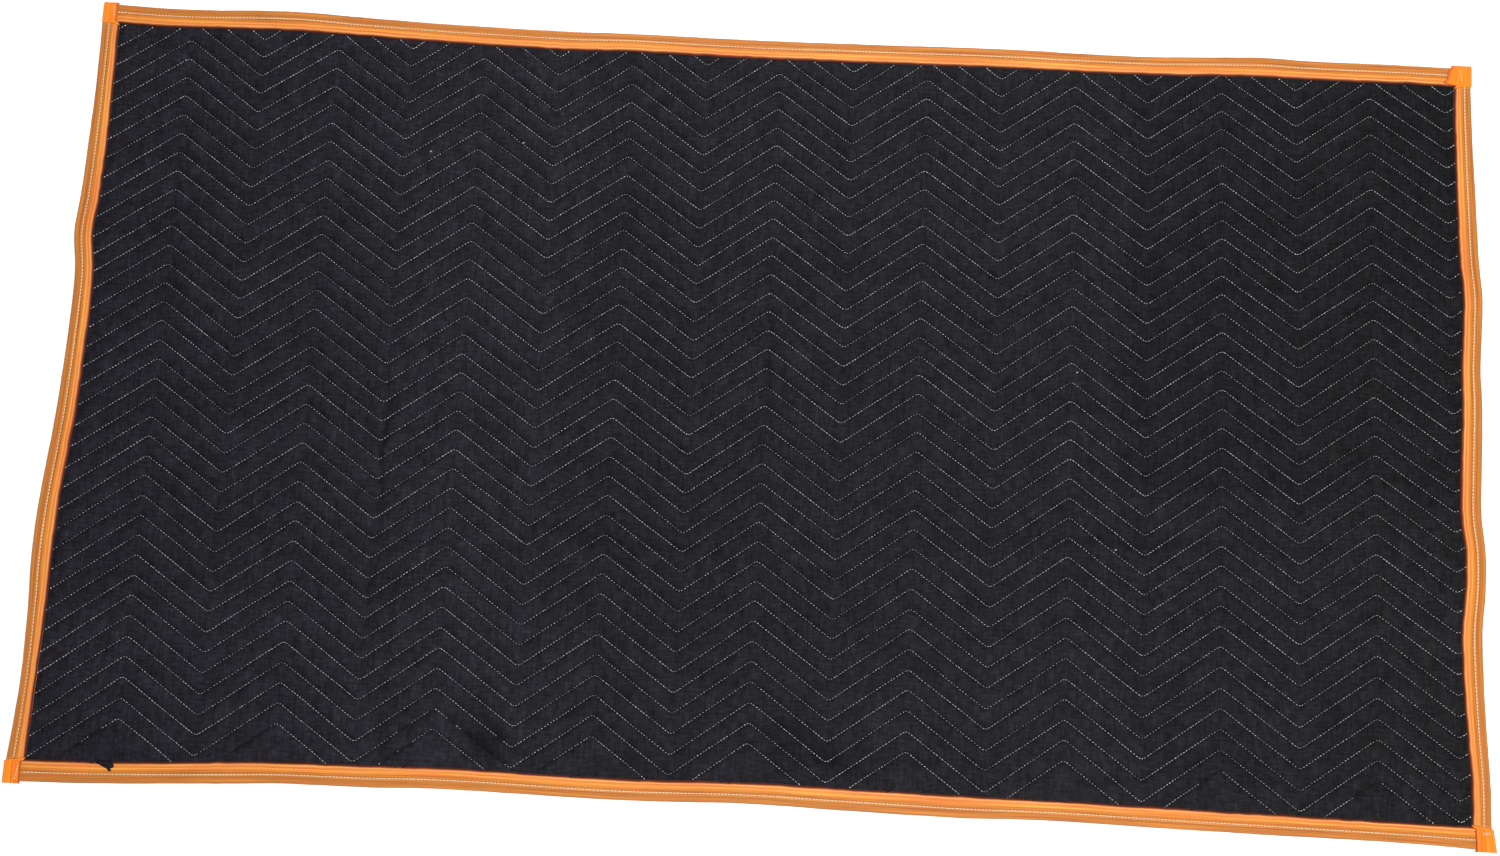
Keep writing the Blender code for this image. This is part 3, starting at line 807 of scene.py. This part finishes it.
def tape_section(width, levels, ribs):
    """The folded tape cut across, from its mouth under the pad, round the fold, to the hem on top."""
    under, under_in, over_in, over, hem = levels
    hemmed = hem > over + 0.3
    lapped = hem >= LAP_LEVELS[4] - 0.2
    mouth = width - UNDER_LEG_SHORT
    points = [(u, under, -u) for u in np.linspace(mouth, FOLD_DEPTH, 5)]
    middle, half = (under + over) / 2, (over - under) / 2
    for angle in np.linspace(-FOLD_ANGLE, FOLD_ANGLE, 7):
        turn = math.radians(angle)
        points.append((FOLD_DEPTH * (1 - math.cos(turn)), middle + half * math.sin(turn), 0.0))
    for u, rib in zip(np.linspace(FOLD_DEPTH, width - HEM_EDGE, ACROSS_TOP), ribs):
        share = u / width
        past_hem = min(max((share - HEM_SHARE) / (1 - HEM_SHARE), 0), 1)
        z = over + (hem - over) * float(smooth_ramp(share, HEM_SHARE - HEM_STEP / 2, HEM_STEP))
        z += (hem - over) * HEM_CROWN * math.sin(math.pi * past_hem)
        z -= SEAM_SINK * math.exp(-(((share - SEAM_SHARE) * width / SEAM_GROOVE) ** 2))
        z += RIDGE_HEIGHT * math.exp(-(((share - RIDGE_SHARE) * width / RIDGE_WIDTH) ** 2)) * hemmed
        z += RIB_HEIGHT * rib
        points.append((u, z, u))
    nose = (hem - over_in) / 2
    for angle in (60, 20, -20):
        turn = math.radians(angle)
        out, up = width - HEM_EDGE + math.cos(turn), over_in + nose + nose * math.sin(turn)
        points.append((out, up, width - HEM_NOSE))
    selvage = width + (0.1 if lapped else SELVAGE)
    points += [(selvage, over_in + SELVAGE_THICKNESS, selvage), (selvage, over_in, selvage)]
    inside_hem, inside_fold, deepest = width - 1.2, FOLD_DEPTH + 1, FOLD_DEPTH - 0.4
    points += [(inside_hem, over_in, width), (inside_fold, over_in, width)]
    points += [(deepest, (over_in + under_in) / 2, width)]
    points += [(inside_fold, under_in, width), (mouth, under_in, -mouth)]
    return points


def tape_stations(side):
    """Fine stations along one tape: places, outer fold, inner edge and the levels of its layers."""
    axis = 0 if side in ("far", "near") else 1
    places, outer, inner = tape_line(f"binding_{side}", axis)
    ends = 2 if axis == 0 else 3
    end_levels = TUCK_LEVELS if axis == 0 else LAP_LEVELS
    levels = np.array([end_levels] * ends + [RUN_LEVELS] * (len(places) - 2 * ends) + [end_levels] * ends)
    run_start, run_end = places[ends], places[-ends - 1]
    run = np.linspace(run_start, run_end, round((run_end - run_start) / TAPE_STATION) + 1)
    if axis == 0:
        along = np.concatenate((places[:ends], run, places[-ends:]))
    else:
        by_end, by_run = LAP_ENDS
        near_lap = np.linspace(places[0] + by_end, places[1] - by_run, 5)
        far_lap = np.linspace(places[-2] + by_run, places[-1] - by_end, 5)
        along = np.concatenate((
            [places[0], places[0] + LAP_CLOSED], near_lap, places[1:ends],
            run,
            places[-ends:-1], far_lap, [places[-1] - LAP_CLOSED, places[-1]],
        ))
    in_run = (along >= run_start) & (along <= run_end)
    fine_outer = np.where(in_run, smooth_line(places, outer, along), np.interp(along, places, outer))
    fine_inner = np.where(in_run, smooth_line(places, inner, along), np.interp(along, places, inner))
    fine_levels = np.stack([np.interp(along, places, column) for column in levels.T], axis=-1)
    if side == "right":
        lapped_at, lap_edge = zip(*SLANTED_LAP)
        fine_inner = np.where(along < lapped_at[0], fine_inner, np.interp(along, lapped_at, lap_edge))
    if side == "far":
        pressed = np.clip((along - PRESSED_FROM) / PRESSED_RAMP, 0, 1)[:, None]
        upper = fine_levels[:, 3:]
        fine_levels[:, 3:] = upper + (np.minimum(upper, TUCK_LEVELS[3:]) - upper) * pressed
    if axis == 1:
        fine_levels[0] = fine_levels[-1] = CLOSED_LEVELS
        fine_levels[1, 1:3] = fine_levels[-2, 1:3] = CLOSED_LEVELS[1:3]
    return along, fine_outer, fine_inner, fine_levels


def tape_piece(side, material):
    """One binding tape, lofted through its stations, with its own small waves."""
    seed = TAPE_SEEDS[side]
    along, outer, inner, levels = tape_stations(side)
    waves = tape_waves(along, seed, TAPE_WAVES)
    edge_waves = tape_waves(along, seed, TAPE_EDGE_WAVES)
    over_top = np.linspace(0, TAPE_NOMINAL, ACROSS_TOP)
    ribs = mottle(along[:, None], over_top[None, :] + 100 * seed % 1500, RIB_LENGTH, RIB_SPACING, seed + 3)
    in_lap = levels[:, 3] > (RUN_LEVELS[3] + LAP_LEVELS[3]) / 2
    flip = -1 if side in ("near", "left") else 1
    points, uv = [], []
    for index, place in enumerate(along):
        width = outer[index] - inner[index] + OVERHANG
        for u, z, across in tape_section(width, levels[index], ribs[index]):
            share = min(max(u / width, 0), 1)
            reach = flip * (outer[index] - u - edge_waves[index] * (share - RIPPLE_PIVOT))
            if z > WAVED_ABOVE_Z:
                z += waves[index] * (RIPPLE_PIVOT + (1 - RIPPLE_PIVOT) * share)
            points.append((place, reach, z) if side in ("far", "near") else (reach, place, z))
            uv.append((place, (across / width + LAP_SHIFT * in_lap[index]) * TAPE_NOMINAL, 0))
    size = len(points) // len(along)
    turned = side in ("near", "right")
    faces = []
    for base in range(0, (len(along) - 1) * size, size):
        for corner in range(size):
            after = (corner + 1) % size
            face = [base + corner, base + after, base + size + after, base + size + corner]
            faces.append(face[::-1] if turned else face)
    cap = list(range(size))
    end_cap = [(len(along) - 1) * size + corner for corner in cap]
    faces.append(cap if turned else cap[::-1])
    faces.append(end_cap[::-1] if turned else end_cap)
    piece = new_piece(f"{side}_binding_tape", points, faces, material, uv)
    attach(piece, "root")
    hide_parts(f"binding_{side}")
    return piece


# Its colour comes from the layers: doubled tape is a clear orange, and where one layer lies on the black
# cloth it is duller. Fine warp threads run the whole length, some yellower and some redder. Light and shade
# are painted into the band as well: painted shade beside the seam, a painted highlight along the hem's
# ridge, and painted shadow, warmed by painted reflected orange, on the turned-under edge, the lip beside it
# and the laps' edges. The weave has a slight sheen.
BAND_SPAN = 2.5
LAP_SHIFT = 1.25
WARP_WIDTH = 1.2
WARP_LENGTH = 150.0
FADE_LENGTH = 60.0
FADE_WIDTH = 8.0
WEAVE_HEIGHT = 0.12
orange_tape, tree, shader = new_material("orange_woven_polyester_tape")
piece_at = add_node(tree, "ShaderNodeUVMap", uv_map="piece").outputs["UV"]
split = add_node(tree, "ShaderNodeSeparateXYZ", {"Vector": piece_at})
across_share = add_node(
    tree, "ShaderNodeMath", {0: split.outputs["Y"], 1: BAND_SPAN * TAPE_NOMINAL * MM}, operation="DIVIDE",
).outputs[0]
# The band from fold to turned-under edge takes up one tape's width of BAND_SPAN; the laps, which show flat
# colour, start LAP_SHIFT widths along it.
# Painted light in the stops: 0.14 and 0.205 are painted shade beside the seam, 0.29 to 0.31 a painted
# highlight on the hem ridge, and 0.402 to 0.443 and 0.90 painted shadow on the turned-under edges and their
# lip.
band_and_painted_light = add_node(tree, "ShaderNodeValToRGB", {"Fac": across_share}, stops=(
    (0.0, "#A8764A"), (0.035, "#BC7838"), (0.07, "#C3782E"), (0.115, "#B5702B"), (0.14, "#AC6928"),
    (0.155, "#CC8747"), (0.19, "#CC8747"), (0.205, "#B8702B"), (0.24, "#C1772A"), (0.27, "#D27E2C"),
    (0.29, "#EE9744"), (0.31, "#F09A48"), (0.325, "#DE8433"), (0.35, "#D98237"), (0.368, "#EAA062"),
    (0.388, "#DE8A44"), (0.402, "#7A2C06"), (0.418, "#4A1602"), (0.443, "#3E1202"), (0.48, "#EE8A26"),
    (0.60, "#FC8B18"), (0.86, "#F4801C"), (0.90, "#A84C12"),
)).outputs["Color"]
fade_at = add_node(
    tree, "ShaderNodeMapping",
    {"Vector": piece_at, "Scale": (1 / (FADE_LENGTH * MM), 1 / (FADE_WIDTH * MM), 1)},
).outputs["Vector"]
fade = add_node(
    tree, "ShaderNodeTexNoise", {"Vector": fade_at, "Scale": 1.0, "Detail": 2.0},
).outputs["Fac"]
fade_colour = add_node(
    tree, "ShaderNodeValToRGB", {"Fac": fade},
    stops=((0.32, "#A8A49A"), (0.45, "#BCBCBC"), (0.55, "#BCBCBC"), (0.68, "#D2B89E")),
).outputs["Color"]
warp_at = add_node(
    tree, "ShaderNodeMapping",
    {"Vector": piece_at, "Scale": (1 / (WARP_LENGTH * MM), 1 / (WARP_WIDTH * MM), 1)},
).outputs["Vector"]
warp = add_node(
    tree, "ShaderNodeTexNoise", {"Vector": warp_at, "Scale": 1.0, "Detail": 2.0},
).outputs["Fac"]
warp_colour = add_node(
    tree, "ShaderNodeValToRGB", {"Fac": warp},
    stops=((0.34, "#A66440"), (0.5, "#BCBCBC"), (0.66, "#F6E8C8")),
).outputs["Color"]
tape_colour = band_and_painted_light
for share, shade in ((0.4, fade_colour), (0.5, warp_colour)):
    tape_colour = add_node(
        tree, "ShaderNodeMix", {0: share, 6: tape_colour, 7: shade},
        data_type="RGBA", blend_type="OVERLAY",
    ).outputs[2]
tree.links.new(tape_colour, shader.inputs["Base Color"])
shader.inputs["Roughness"].default_value = 0.62
shader.inputs["Specular IOR Level"].default_value = 0.35
# The threads of the weave are too fine to show, so it is drawn about a millimetre coarse.
weave_at = add_node(
    tree, "ShaderNodeMapping", {"Vector": piece_at, "Scale": (1 / MM, 1 / MM, 1)},
).outputs["Vector"]
picks = add_node(
    tree, "ShaderNodeTexWave", {"Vector": weave_at, "Scale": 0.35, "Distortion": 1.5},
    bands_direction="X",
).outputs["Fac"]
ends_of_warp = add_node(
    tree, "ShaderNodeTexWave", {"Vector": weave_at, "Scale": 0.3, "Distortion": 1.0},
    bands_direction="Y",
).outputs["Fac"]
weave = add_node(tree, "ShaderNodeMath", {0: picks, 1: ends_of_warp}, operation="ADD").outputs[0]
weave_bump = add_node(
    tree, "ShaderNodeBump", {"Height": weave, "Strength": 0.4, "Distance": WEAVE_HEIGHT * MM},
).outputs["Normal"]
tree.links.new(weave_bump, shader.inputs["Normal"])

tapes = [tape_piece(side, orange_tape) for side in EDGES]

# The tape is sewn through all the layers with one row of cream polyester thread near the middle of its
# width. The lock stitches are pulled a little into the tape, and the row wanders as it was fed by hand.
SEAM_STITCH = 4.5
SEAM_STITCH_SHARE = 0.86
SEAM_STITCH_WANDER = 0.2
SEAM_THREAD_RADIUS = 0.52
SEAM_THREAD_UNEVEN = 0.2
SEAM_THREAD_LIFT = 0.3
SEAM_DIVE = 0.45
SEAM_WANDER = 0.5
WAVE_AT_SEAM = 0.55
LONG_SEAM = (-894.0, 884.0)
SHORT_SEAM = (-478.0, 478.0)
cream_thread, tree, shader = new_material("cream_polyester_thread")
shader.inputs["Base Color"].default_value = linear_colour("#F6DDB4")
shader.inputs["Roughness"].default_value = 0.6


def seam_stitches(side):
    """Start and end points of the stitches of one tape's seam, with their thread's radii."""
    seed = TAPE_SEEDS[side]
    random = np.random.default_rng(seed)
    along, outer, inner, levels = tape_stations(side)
    waves = tape_waves(along, seed, TAPE_WAVES)
    places = np.arange(*(LONG_SEAM if side in ("far", "near") else SHORT_SEAM), SEAM_STITCH)
    places = places + random.uniform(-SEAM_STITCH_WANDER, SEAM_STITCH_WANDER, len(places))
    flip = -1 if side in ("near", "left") else 1
    ends = []
    for at in (places, places + SEAM_STITCH * SEAM_STITCH_SHARE):
        fold_at, edge_at = np.interp(at, along, outer), np.interp(at, along, inner)
        wander = SEAM_WANDER * mottle(at, seed, 90, 50, seed + 5)
        reach = flip * (fold_at - (fold_at - edge_at) * SEAM_SHARE + wander)
        z = np.interp(at, along, levels[:, 3]) + np.interp(at, along, waves) * WAVE_AT_SEAM
        z += SEAM_THREAD_LIFT - SEAM_SINK
        ends.append(np.stack((at, reach, z) if side in ("far", "near") else (reach, at, z), axis=-1))
    radii = SEAM_THREAD_RADIUS * (1 + SEAM_THREAD_UNEVEN * mottle(places, seed, 30, 50, seed + 6))
    return *ends, radii


for side in EDGES:
    points, faces = stitches(*seam_stitches(side), SEAM_DIVE)
    seam = new_piece(f"{side}_seam_thread", points, faces, cream_thread)
    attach(seam, "root")

# Each lapped corner is tacked down with a few stitches of the same cream thread. Each row: where a tack
# starts and ends, in mm.
CORNER_TACKS = (
    (-898.5, 504, -897.5, 490), (898.5, 502, 899, 486), (-900.5, -487, -902.5, -505),
    (894.5, -486.6, 904.5, -486.0), (895, -484.8, 904, -484.2),
)
TACK_Z = 6.15
TACK_STITCH = 3.4
TACK_STITCH_SHARE = 0.85
TACK_RADIUS = 0.4
TACK_DIVE = 0.3
starts, ends = [], []
for start_x, start_y, end_x, end_y in CORNER_TACKS:
    start, run = np.array((start_x, start_y, TACK_Z)), np.array((end_x - start_x, end_y - start_y, 0.0))
    count = round(float(np.linalg.norm(run)) / TACK_STITCH)
    starts += [start + run * step / count for step in range(count)]
    ends += [start + run * (step + TACK_STITCH_SHARE) / count for step in range(count)]
radii = np.full(len(starts), TACK_RADIUS)
points, faces = stitches(np.array(starts), np.array(ends), radii, TACK_DIVE)
tacks = new_piece("corner_tack_thread", points, faces, cream_thread)
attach(tacks, "root")

# A torn shred of the cloth's raw edge was left outside when the near tape was sewn on, and lies over it.
# It is the same black spunbond, and sinks a little where it comes off the pad.
SHRED = (
    (-806, -478), (-804.5, -480.5), (-797.5, -484.2), (-792.5, -487.2), (-787.5, -490.2),
    (-782.6, -484.8), (-784, -481), (-788, -477.5), (-798, -477),
)
SHRED_UNDER = 5.7
SHRED_OVER = 6.5
SHRED_SINK = 1.4
SHRED_SINK_Y = -479
SHRED_TOP_SHARE = 0.6
SHRED_TONE = 1.1
ring = np.array(SHRED, float)
top_ring = ring.mean(axis=0) + (ring - ring.mean(axis=0)) * SHRED_TOP_SHARE
points = [(x, y, SHRED_UNDER - SHRED_SINK * (y > SHRED_SINK_Y)) for x, y in ring]
points += [(x, y, SHRED_OVER) for x, y in top_ring]
count = len(ring)
faces = [[i, (i + 1) % count, count + (i + 1) % count, count + i] for i in range(count)]
faces += [[*range(count, 2 * count)], [*range(count)][::-1]]
shred = new_piece("raw_edge_shred", points, faces, spunbond, points, np.full(len(points), SHRED_TONE))
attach(shred, "root")

# The photograph was taken by hand from above the near edge, over a seamless white ground, in even light
# with a broad bright source behind the camera.
CAMERA_AT = (-0.02055, -0.3508, 1.9154)
CAMERA_TURN = (9.650, -0.3486, 2.6963)
LENS_MM = 36.465
camera_data = bpy.data.cameras.new("camera")
camera_data.sensor_width = 36.0
camera_data.lens = LENS_MM
camera = bpy.data.objects.new("camera", camera_data)
camera.location = CAMERA_AT
camera.rotation_euler = [math.radians(angle) for angle in CAMERA_TURN]
bpy.context.scene.collection.objects.link(camera)
bpy.context.scene.camera = camera

GROUND_Z = -0.0002
white_ground, tree, shader = new_material("white_paper_ground")
shader.inputs["Base Color"].default_value = (0.94, 0.94, 0.94, 1.0)
shader.inputs["Roughness"].default_value = 0.9
shader.inputs["Emission Color"].default_value = (1.0, 1.0, 1.0, 1.0)
shader.inputs["Emission Strength"].default_value = 0.4
ground_mesh = bpy.data.meshes.new("ground")
ground_mesh.from_pydata([(-6, -6, 0), (6, -6, 0), (6, 6, 0), (-6, 6, 0)], [], [(0, 1, 2, 3)])
ground_mesh.materials.append(white_ground)
ground = bpy.data.objects.new("ground", ground_mesh)
ground.location.z = GROUND_Z
bpy.context.scene.collection.objects.link(ground)

STUDIO_LIGHT = 0.34
studio = bpy.data.worlds.new("studio")
studio.use_nodes = True
background = studio.node_tree.nodes["Background"]
background.inputs["Color"].default_value = (1.0, 1.0, 1.0, 1.0)
background.inputs["Strength"].default_value = STUDIO_LIGHT
bpy.context.scene.world = studio


def broad_light(name, at, size, power):
    """A round lamp of a size in metres and a power in watts, aimed at the middle of the pad."""
    data = bpy.data.lights.new(name, "AREA")
    data.shape = "DISK"
    data.size = size
    data.energy = power
    light = bpy.data.objects.new(name, data)
    light.location = at
    x, y, z = at
    light.rotation_euler = (math.atan2(math.hypot(x, y), z), 0, math.atan2(x, -y))
    bpy.context.scene.collection.objects.link(light)


broad_light("key", (0.35, -0.2, 2.2), 0.25, 25.0)
broad_light("near_window", (0.9, -3.2, 2.0), 1.0, 66.0)
broad_light("far_fill", (0.2, 2.6, 1.8), 1.0, 50.0)
bpy.context.scene.view_settings.view_transform = "Standard"
